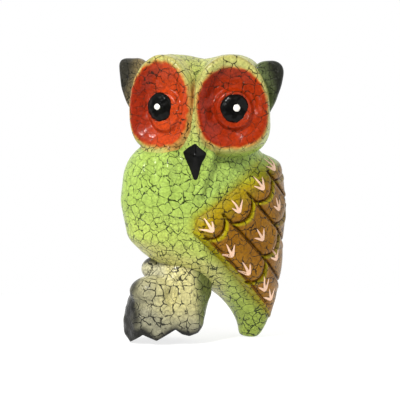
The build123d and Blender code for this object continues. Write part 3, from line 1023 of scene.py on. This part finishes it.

# %% [markdown]
# The green of body and head
# One light leaf green covers the owl, and the painter changed it as the brush went down: yellower
# on the belly, deeper at the end of the tail, and paler and yellower up over the brows. Where the
# belly turns under towards the floor, straw is laid on as painted light from below, and creases get
# painted shade. Both the body and the head use this coat, so it has its own helper.

# %% Green coat
def green_coat(points, normals, crease_shade):
    """The green of body and head, with painted light under the belly and painted shade in creases."""
    x, y, z = points.T
    along, _ = along_across(x, y)
    colour = np.tile(LEAF, (len(points), 1))
    colour = veil(colour, BELLY, ramp(z, 104, 66) * 0.75)
    # painted light: where the belly faces down to the floor, it is lightened with straw as if lit from
    # below
    floor_light_under_belly = ramp(normals[:, 2], -0.28, -0.72) * ramp(z, 82, 62) * ramp(x, 22, 10)
    colour = veil(colour, STRAW * 1.15, floor_light_under_belly * 0.9)
    colour = veil(colour, DEEP_LEAF, ramp(z, 46, 12) * ramp(along, 10, 24) * 0.65)
    colour = veil(colour, PALE_LEAF, ramp(z, 132, 146) * 0.85)
    colour = veil(colour, STRAW, ramp(z, 180, 198) * 0.5)
    seam = ramp(z, 70, 55) * ramp(x, 14, 2)  # where belly and perch meet, the painted shade is kept faint
    # painted shade: the green is darkened in creases, where shade falls
    return veil(colour, DEEP_LEAF * 0.55, crease_shade * (0.95 - 0.85 * seam))


print("leaf green, as light:", [round(float(share), 2) for share in LEAF])

# %% [markdown]
# Painting the torso and the head
# Round the wing the green turns to lime, and to ochre at the wing's front corner, as if the
# airbrush had gone a little past the carved edge. How hard the paint cracked is stored with its
# colour: the upper chest stayed calm, and the side of the belly cracked most.

# %% Paint the torso and the head
def paint_torso(piece):
    points, normals, crease_shade = points_and_crease_shade(piece, bare_owl)
    x, y, z = points.T
    colour = green_coat(points, normals, crease_shade)
    shoulder, lower, top, back = wing_edges(x, y, z)
    above_edge = ramp(lower, -3, 5)
    colour = veil(colour, LIME, ramp(shoulder, -12, -2) * above_edge * ramp(top, -5, 8) * 0.8)
    colour = veil(colour, OCHRE, ramp(shoulder, -6, -1) * above_edge * ramp(z, 116, 104) * 0.75)
    # painted shade: an olive band just below the wing's lower edge, as the shadow under its lip
    shade_under_wing_edge = ramp(lower, -7, -1) * ramp(shoulder, 8, 16) * ramp(back, -2, 2)
    colour = veil(colour, OLIVE, shade_under_wing_edge * 0.5)
    colour = veil(colour, DUST, ramp(back, 0, -2) * ramp(z, 20, 40) * ramp(z, 125, 105) * 0.35)
    calm = ramp(x, -16, -30) * ramp(z, 96, 116) * ramp(y, 8, -8)
    strong = ramp(x, -14, 4) * ramp(z, 84, 64)
    brush_on(piece, colour, 0.72 - 0.3 * calm + 0.28 * strong)


def paint_head(piece):
    points, normals, crease_shade = points_and_crease_shade(piece, bare_owl)
    colour = green_coat(points, normals, crease_shade)
    for side in SIDES:
        a, b, out = disc_coords(side, *points.T)
        colour = veil(colour, STRAW, ramp(oval(a, b), 1.22, 1.02) * ramp(out, -14, -6) * 0.6)
    brush_on(piece, colour)


paint_torso(pieces["carved_torso"])
paint_head(pieces["carved_head"])

# %% [markdown]
# Painting the eye cups
# An eye cup is orange inside, with an amber haze where the orange thins out over the green rim.
# The two are not alike: one is brighter, and its amber spills over onto the nose side, while the
# other is a rusty red whose field sits a little lower in its cup. In both, a deeper red is laid as
# painted shade on the inner slope towards the owl's right, and in the creases.

# %% Paint the eye cups
FIELD_DROP = {"left": 2.6, "right": 0.7}  # how far the orange sits below the middle of its cup
FIELD_SQUASH = {"left": 1.16, "right": 1.09}
AMBER_SPILL = {"left": 0.2, "right": 0.75}
RUSTINESS = {"left": 0.92, "right": 0.0}
# how strong the painted shade is, in deeper red, on each cup's slope towards the owl's right
SHADED_SIDE_RED = {"left": 0.55, "right": 0.8}


def paint_cup(piece, side):
    points, normals, crease_shade = points_and_crease_shade(piece, bare_owl)
    a, b, _ = disc_coords(side, *points.T)
    size, field_size = oval(a, b), oval(a, (b + FIELD_DROP[side]) * FIELD_SQUASH[side])
    nose_side = ramp(size, 1.18, 1.04) * ramp(a * SIDES[side], -2, -16) * ramp(b, 20, 6)
    colour = green_coat(points, normals, crease_shade)
    colour = veil(colour, STRAW, ramp(size, 1.12, 1.02) * 0.6)
    colour = veil(colour, AMBER, nose_side * AMBER_SPILL[side])
    colour = veil(colour, AMBER, ramp(field_size + 0.02 * knife_marks(a, b, a, 11), 1.05, 0.97) * 0.9)
    colour = veil(colour, ORANGE, ramp(field_size + 0.02 * knife_marks(b, a, b, 9), 1.0, 0.93))
    field = ramp(field_size, 0.99, 0.92)
    colour = veil(colour, RUST, field * RUSTINESS[side])
    # painted shade: a deeper red on the inner slope towards the owl's right
    colour = veil(colour, RED, field * ramp(-a, -4, 16) * SHADED_SIDE_RED[side])
    # painted shade: a deeper red in the cup's creases
    colour = veil(colour, RED, crease_shade * 0.45)
    cracking = 0.35 + 0.65 * ramp(a + b, -12, 14) + 0.5 * ramp(size, 0.85, 0.98)
    brush_on(piece, colour, np.clip(cracking, 0, 1))


for side in SIDES:
    paint_cup(pieces[f"{side}_eye_cup"], side)


# %% [markdown]
# Painting the wings
# A wing goes from lime at the shoulder through olive to ochre and brown. A crescent of lime just
# past each feather's end is a painted highlight, the light on the far wall of the cut, and the far
# edge was dusted with a pale brown. Last, the grooves are darkened with painted shade.

# %% Paint the wings
def paint_wing(piece, side):
    points, _, crease_shade = points_and_crease_shade(piece, wing_piece(side), 1.8)
    x, y, z = points.T
    along, _ = along_across(x, y)
    down, band = feather_coords(along, z)
    shoulder, lower, top, _ = wing_edges(x, y, z)
    colour = np.tile(OCHRE, (len(points), 1))
    patchy = 0.5 + 0.25 * knife_marks(x, y, z, 26)
    colour = veil(colour, BROWN, patchy * ramp(shoulder, 6, 24) * 0.6)
    for row, ends in enumerate(FEATHER_ENDS):
        t = (band - BANDS[row]) / (BANDS[row + 1] - BANDS[row])
        here = (t >= 0) & (t < 1)
        for end in ends:
            past = past_end(down, end, t)
            # painted highlight: a lime crescent just past each feather's end, where the far wall of the
            # cut catches the light
            colour = veil(colour, LIME, here * ramp(past, 0.9, 2.0) * ramp(past, 5.4, 2.8) * 0.7)
    colour = veil(colour, OLIVE, ramp(shoulder, 14, 5) * 0.75)
    colour = veil(colour, LIME, ramp(shoulder, 8, 1) * 0.85)
    colour = veil(colour, (LEAF + LIME) / 2, ramp(shoulder, 2.5, -3.5) * 0.7)
    colour = veil(colour, OCHRE, ramp(shoulder, 12, 2) * ramp(z, 116, 106) * 0.5)
    colour = veil(colour, LEAF, ramp(top, 12, 0))
    colour = veil(colour, LIME * 0.8, ramp(lower, 3.2, 1.4) * 0.8)
    colour = veil(colour, DUST, ramp(along, 36, 52) * 0.75 * ramp(shoulder, 6, 14))
    # painted shade: the grooves and creases are darkened with a dark brown
    colour = veil(colour, BROWN * 0.3, ramp(crease_shade, 0.12, 0.75) * 0.9)
    brush_on(piece, colour)


for side in SIDES:
    paint_wing(pieces[f"{side}_carved_wing"], side)


# %% [markdown]
# Painting the perch and the ears
# The perch was painted cream, shaded with grey stone, and touched with soot at its outer edge and
# its root ends. Its side in the owl's shadow is a mossy green. The ears start in a dull green or
# an umber at the head, and go to black at their tips.

# %% Paint the perch and the ears
EAR_START = {"left": SAGE, "right": UMBER}
EAR_SOOT, EAR_SOOT_FROM = {"left": 1.0, "right": 2.4}, -15


def paint_perch(piece):
    points, _, crease_shade = points_and_crease_shade(piece, perch_form)
    x, y, z = points.T
    colour = np.tile(CREAM, (len(points), 1))
    colour = veil(colour, STONE * 1.8, ramp(z, 44, 48) * ramp(x, -22, -28) * 0.8)
    colour = veil(colour, STONE, ramp(x, -20, -38) * 0.75 * ramp(z, 52, 42) + ramp(z, 30, 8) * 0.9)
    colour = veil(colour, STONE * 0.8, ramp(z, 28, 8) * 0.7)
    colour = veil(colour, MOSS, ramp(x + 0.12 * z, -4.5, 5.0) * 0.9)
    above = z - root_ends(x, y)
    soot = ramp(x, -38, -51) + ramp(above + 0.11 * (x + 30), 7.5, 0.5) * 0.95 + ramp(y, 2, 14) * 0.5
    soot = soot + ramp(z, 51, 57) * ramp(x, -26, -36) * 0.8
    soot = soot + ramp(z, 14, 6) * ramp(x, -26, -20) * 0.7
    colour = veil(colour, SOOT, soot + 0.15 * knife_marks(x, y, z, 14))
    # painted shade: soot-dark in the perch's creases, away from the torso
    colour = veil(colour, SOOT, crease_shade * 0.7 * ramp(bare_torso(x, y, z), 2, 7))
    brush_on(piece, colour)


def paint_ear(piece, side):
    points, _, crease_shade = points_and_crease_shade(piece, ear_form(side))
    outward, up, _ = ear_coords(side, *points.T)
    colour = np.tile(EAR_START[side], (len(points), 1))
    tip = ramp(outward + 0.25 * up, EAR_SOOT_FROM, EAR_SOOT_FROM + 10)
    colour = veil(colour, SOOT * EAR_SOOT[side], tip * 0.95)
    # painted shade: the ear's creases are darkened
    colour = veil(colour, SOOT, crease_shade * 0.5)
    brush_on(piece, colour)


paint_perch(pieces["carved_perch"])
for side in SIDES:
    paint_ear(pieces[f"{side}_carved_ear"], side)

# %% [markdown]
# A bench for nodes
# A paint finish is a net of small nodes, each with sockets to feed. Written out one by one, they
# hide what the finish is. So a bench keeps one material and has short ways to add to it. A value
# that is itself a socket gets linked, and any other is set as a fixed number.

# %% Node bench
class Bench:
    """One material, and short ways to add nodes to it."""

    def __init__(self, name):
        self.material = bpy.data.materials.new(name)
        self.material.use_nodes = True
        self.tree = self.material.node_tree
        self.surface = self.tree.nodes["Principled BSDF"].inputs

    def feed(self, inputs, values):
        """Links or sets some of a node's inputs."""
        for key, value in values.items():
            if isinstance(value, bpy.types.NodeSocket):
                self.tree.links.new(value, inputs[key])
            else:
                inputs[key].default_value = value

    def node(self, kind, values=(), **settings):
        """Adds a node, feeds it, and gives back its outputs."""
        made = self.tree.nodes.new(kind)
        for key, value in settings.items():
            setattr(made, key, value)
        self.feed(made.inputs, dict(values))
        return made.outputs

    def maths(self, operation, a, b=0.0):
        return self.node("ShaderNodeMath", {0: a, 1: b}, operation=operation)[0]

    def between(self, value, start, end, low=0.0, high=1.0):
        """Low at start and high at end, with an easy slope between."""
        values = {"Value": value, "From Min": start, "From Max": end, "To Min": low, "To Max": high}
        return self.node("ShaderNodeMapRange", values, interpolation_type="SMOOTHSTEP")["Result"]

    def noise(self, vector, size, detail=2.0):
        values = {"Vector": vector, "Scale": 1 / size, "Detail": detail}
        return self.node("ShaderNodeTexNoise", values)

    def blend(self, kind, factor, under, over):
        values = {"Factor": factor, "A": under, "B": over}
        return self.node("ShaderNodeMix", values, data_type="RGBA", blend_type=kind)["Result"]

    def pushed(self, vector, size, reach):
        """Coordinates pushed about by noise."""
        values = {0: self.noise(vector, size)["Color"], 1: (reach,) * 3, 2: vector}
        return self.node("ShaderNodeVectorMath", values, operation="MULTIPLY_ADD")["Vector"]


print("ways to add to a bench:", [way for way in vars(Bench) if way[0] != "_"])

# %% [markdown]
# The net of cracks
# Crackle medium makes the top coat shrink and split into islands, with the dark undercoat showing
# in the gaps. A Voronoi pattern is a good picture of that: the distance to the edge of a cell is
# small along a net of lines. Its coordinates are pushed about by noise, so that the lines jog as
# real cracks do, and all pieces share them, so that cracks run on across the joints. But the cells
# fill space, and where a wall between two cells lies almost flat in the surface it would show as a
# blot. So each point looks a second time, a little way down into the wood, and is on a crack only
# if it is on one there too.

# %% Crack net
CRACK_DEPTH, CRACK_LEAN = 0.9, 0.42  # how deep a crack is followed, and how far it may lean, in mm
CRACK_EDGE = 0.15  # how softly a crack starts
SWAY = (0.9, 0.8)  # how long and how far the large bends are, in cells
JOG = (2.0, 0.8)  # how long and how far the small jogs are, in millimetres


def crack_places(bench, cell):
    """Places in millimetres, then jagged ones on the surface and a little way down."""
    coords = bench.node("ShaderNodeTexCoord")
    metres = {0: coords["Object"], "Scale": 1 / MM}
    in_mm = bench.node("ShaderNodeVectorMath", metres, operation="SCALE")["Vector"]
    inward = {0: coords["Normal"], 1: (-CRACK_DEPTH,) * 3, 2: in_mm}
    below = bench.node("ShaderNodeVectorMath", inward, operation="MULTIPLY_ADD")["Vector"]
    swayed = [bench.pushed(vector, cell * SWAY[0], cell * SWAY[1]) for vector in (in_mm, below)]
    return in_mm, *(bench.pushed(vector, *JOG) for vector in swayed)


def wall(bench, vector, width):
    """How far the wall between two cells is, in millimetres."""
    values = {"Vector": vector, "Scale": 1 / width}
    cells = bench.node("ShaderNodeTexVoronoi", values, feature="DISTANCE_TO_EDGE")
    return bench.maths("MULTIPLY", cells["Distance"], width)


def net(bench, vector, below, width, half):
    """A net of cracks, 1 on a crack and 0 on an island, and how far the crack is."""
    deep = bench.maths("SUBTRACT", wall(bench, below, width), CRACK_LEAN)
    distance = bench.maths("MAXIMUM", wall(bench, vector, width), deep)
    edge = bench.maths("ADD", half, CRACK_EDGE)
    return bench.between(distance, half, edge, 1.0, 0.0), distance


print("cracks are followed, mm deep:", CRACK_DEPTH)

# %% [markdown]
# The crackle finish
# Two nets are laid over each other, a bold one and a fine one. The bold one swells, thins and
# breaks off from place to place, the fine one comes and goes in patches, and both follow how hard
# the paint cracked there. The painted colour is mottled, the cracks are sunk a little and the
# islands swell. The varnish on top is a thin clear coat.

# %% Crackle material
FINE_CELL, FINE_HALF = 0.46, 0.02  # a fine cell as a share of a bold one, and half a fine crack
CRACK_CUT, CELL_SWELL, LUMP = 0.45, 0.20, 0.20  # how far cracks sink and islands rise in the bump
GLOSS, SPECULAR, COAT, COAT_ROUGHNESS = 0.30, 0.10, 0.20, 0.12


def crack_pattern(bench, cell, crack, fine, hard):
    """Where the cracks are, how far the nearest bold one is, and places in millimetres."""
    in_mm, jagged, below = crack_places(bench, cell)
    swelling = bench.between(bench.noise(in_mm, cell * 1.9, 1.0)["Fac"], 0.32, 0.66, 0.3, 1.0)
    half = bench.maths("MULTIPLY", bench.maths("MULTIPLY", swelling, hard), crack / 2)
    bold, distance = net(bench, jagged, below, cell, half)
    unbroken = bench.between(bench.noise(in_mm, cell * 0.75, 0.0)["Fac"], 0.30, 0.42, 0.1)
    unbroken = bench.maths("MULTIPLY", unbroken, bench.between(hard, 0.0, 0.5))
    bold = bench.maths("MULTIPLY", bold, unbroken)
    small, _ = net(bench, jagged, below, cell * FINE_CELL, FINE_HALF)
    patches = bench.between(bench.noise(in_mm, cell * 2.7, 1.0)["Fac"], 0.40, 0.60, 0.1, fine)
    patches = bench.maths("MULTIPLY", patches, bench.between(hard, 0.1, 0.9))
    small = bench.maths("MULTIPLY", small, patches)
    return bench.maths("MAXIMUM", bold, small), distance, in_mm


def crackle_paint(name, cell, crack, fine, undercoat):
    """Painted, crackled and varnished wood. cell and crack are widths in millimetres."""
    bench = Bench(name)
    paint = bench.node("ShaderNodeAttribute", attribute_name="paint")
    cracks, distance, in_mm = crack_pattern(bench, cell, crack, fine, paint["Alpha"])
    mottle = bench.between(bench.noise(in_mm, 1.7, 4.0)["Fac"], 0.3, 0.7, 0.78, 1.18)
    grey = bench.node("ShaderNodeCombineColor", {0: mottle, 1: mottle, 2: mottle})["Color"]
    mottled = bench.blend("MULTIPLY", 1.0, paint["Color"], grey)
    worn = bench.blend("MIX", bench.between(distance, 0.7, 0.1, 0.0, 0.12), mottled, undercoat)
    colour = bench.blend("MIX", bench.maths("MULTIPLY", cracks, 0.92), worn, undercoat)
    lumps = bench.noise(in_mm, 1.2, 3.0)["Fac"]
    sunk = bench.maths("MULTIPLY", cracks, -CRACK_CUT)
    height = bench.maths("ADD", bench.maths("MULTIPLY", lumps, LUMP), sunk)
    height = bench.maths("ADD", height, bench.between(distance, 0.0, 1.2, 0.0, CELL_SWELL))
    relief = {"Height": height, "Strength": 0.55, "Distance": 0.6 * MM}
    bump = bench.node("ShaderNodeBump", relief)["Normal"]
    roughness = bench.between(lumps, 0.3, 0.7, GLOSS - 0.05, GLOSS + 0.12)
    bench.feed(bench.surface, {"Base Color": colour, "Roughness": roughness})
    bench.feed(bench.surface, {"Normal": bump, "Coat Normal": bump, "Specular IOR Level": SPECULAR})
    bench.feed(bench.surface, {"Coat Weight": COAT, "Coat Roughness": COAT_ROUGHNESS})
    print(f"{name}: cells {cell} mm, {len(bench.tree.nodes)} nodes")
    return bench.material


print("widest fine crack, mm:", round(2 * (FINE_HALF + CRACK_EDGE), 2))

# %% [markdown]
# Six recipes
# The bottle is the same for all, but the crackle is not: it broke into large bold islands on the
# body and the perch, into smaller ones on the brows, and stayed fine in the cups and on the
# wings and ears. What shows in the gaps is dark green, dark brown or a sooty grey.

# %% Crackle recipes
DARK_GREEN = (0.010, 0.018, 0.004, 1)
DARK_BROWN = (0.018, 0.009, 0.002, 1)
DARK_GREY = (0.008, 0.008, 0.006, 1)
body_crackle = crackle_paint("green_crackle", 6.2, 0.68, 0.85, DARK_GREEN)
head_crackle = crackle_paint("brow_crackle", 4.6, 0.36, 0.6, DARK_GREEN)
cup_crackle = crackle_paint("orange_crackle", 7.0, 0.50, 0.4, DARK_BROWN)
wing_crackle = crackle_paint("ochre_crackle", 6.0, 0.50, 0.4, DARK_BROWN)
perch_crackle = crackle_paint("cream_crackle", 6.2, 0.66, 0.7, DARK_GREY)
ear_crackle = crackle_paint("sooty_crackle", 4.5, 0.30, 0.4, DARK_GREY)

# %% [markdown]
# Enamel, brush paint and bare wood
# Black and white enamel is smooth, thick and glossy, with the faint swell of the brush. The pink
# marks are duller, and let a little of the ochre through where the brush ran dry. Inside, where
# nobody looks, the dowels are bare turned wood with their grain along them.

# %% Enamel, brush paint and wood materials
def plain_finish(name, light, dark, grain, roughness, coat):
    """A finish that drifts between two colours along a stretched noise."""
    bench = Bench(name)
    place = bench.node("ShaderNodeTexCoord")["Object"]
    stretch = {"Vector": place, "Scale": tuple(1 / (size * MM) for size in grain)}
    drift = bench.noise(bench.node("ShaderNodeMapping", stretch)["Vector"], 1.0, 3.0)["Fac"]
    colours = bench.tree.nodes.new("ShaderNodeValToRGB")
    bench.feed(colours.inputs, {"Fac": drift})
    for element, position, colour in zip(colours.color_ramp.elements, (0.35, 0.65), (dark, light)):
        element.position = position
        element.color = (*colour, 1)
    relief = {"Height": drift, "Strength": 0.3, "Distance": 0.4 * MM}
    bump = bench.node("ShaderNodeBump", relief)["Normal"]
    bench.feed(bench.surface, {"Base Color": colours.outputs["Color"], "Normal": bump})
    bench.feed(bench.surface, {"Roughness": roughness, "Specular IOR Level": 0.05})
    bench.feed(bench.surface, {"Coat Weight": coat, "Coat Roughness": 0.08})
    print(f"{name}: roughness {roughness}, coat {coat}")
    return bench.material


PLAIN = {  # name: light colour, dark colour, how long the grain is in mm, roughness, clear coat
    "black_enamel": ((0.005, 0.005, 0.004), (0.002, 0.002, 0.002), (2.5, 2.5, 2.5), 0.3, 0.15),
    "white_enamel": ((0.95, 0.93, 0.86), (0.88, 0.86, 0.78), (1.5, 1.5, 1.5), 0.3, 0.5),
    "pink_brush_paint": ((0.94, 0.67, 0.50), (0.84, 0.51, 0.33), (1.2, 1.2, 0.6), 0.45, 0.2),
    "bare_dowel_wood": ((0.58, 0.38, 0.19), (0.42, 0.25, 0.11), (0.8, 0.8, 9.0), 0.6, 0.0),
}
plain = {name: plain_finish(name, *recipe) for name, recipe in PLAIN.items()}

# %% [markdown]
# Putting the pieces in place
# Every carved piece stands for one piece of the CAD model and rides on the owl's one body. The
# glints and the brush strokes are paint, so they stand for nothing, but they ride too. The dowels
# stay as the CAD model has them, in bare wood.

# %% Names, finishes and places
FINISH = {
    "carved_torso": (body_crackle, "green_paint", "torso"),
    "carved_head": (head_crackle, "green_paint", "head"),
    "carved_perch": (perch_crackle, "perch_paint", "perch"),
    "carved_beak": (plain["black_enamel"], "gloss_black", "beak"),
}
for side in SIDES:
    FINISH[f"{side}_eye_cup"] = (cup_crackle, "face_paint", f"{side}_eye_disc")
    FINISH[f"{side}_carved_wing"] = (wing_crackle, "wing_paint", f"{side}_wing")
    FINISH[f"{side}_carved_ear"] = (ear_crackle, "ear_paint", f"{side}_ear")
    FINISH[f"{side}_black_pupil"] = (plain["black_enamel"], "gloss_black", f"{side}_pupil")
    FINISH[f"{side}_white_glint"] = (plain["white_enamel"], "white_enamel", None)
    FINISH[f"{side}_feather_marks"] = (plain["pink_brush_paint"], "pink_paint", None)

for name, (material, slot, node_name) in FINISH.items():
    piece = pieces[name]
    piece.data.materials.append(material)
    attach(piece, "root")
    if node_name:
        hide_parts(node_name)

for name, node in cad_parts.items():
    if name.endswith(("dowel", "pins")):
        node.data.materials.clear()
        node.data.materials.append(plain["bare_dowel_wood"])
print(f"{len(FINISH)} carved and painted pieces in place")

# %% [markdown]
# Measuring the size
# The carved owl has to fill the same space as the CAD model that it stands for. So the last cell
# measures both, and prints their boxes side by side.

# %% Measure sizes
visual_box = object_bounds()
sizes = {"cad": [list(corner) for corner in cad_box], "visual": [list(corner) for corner in visual_box]}
for label, (low, high) in sizes.items():
    print(label, "mm:", [round(v / MM, 1) for v in (*low, *high)])
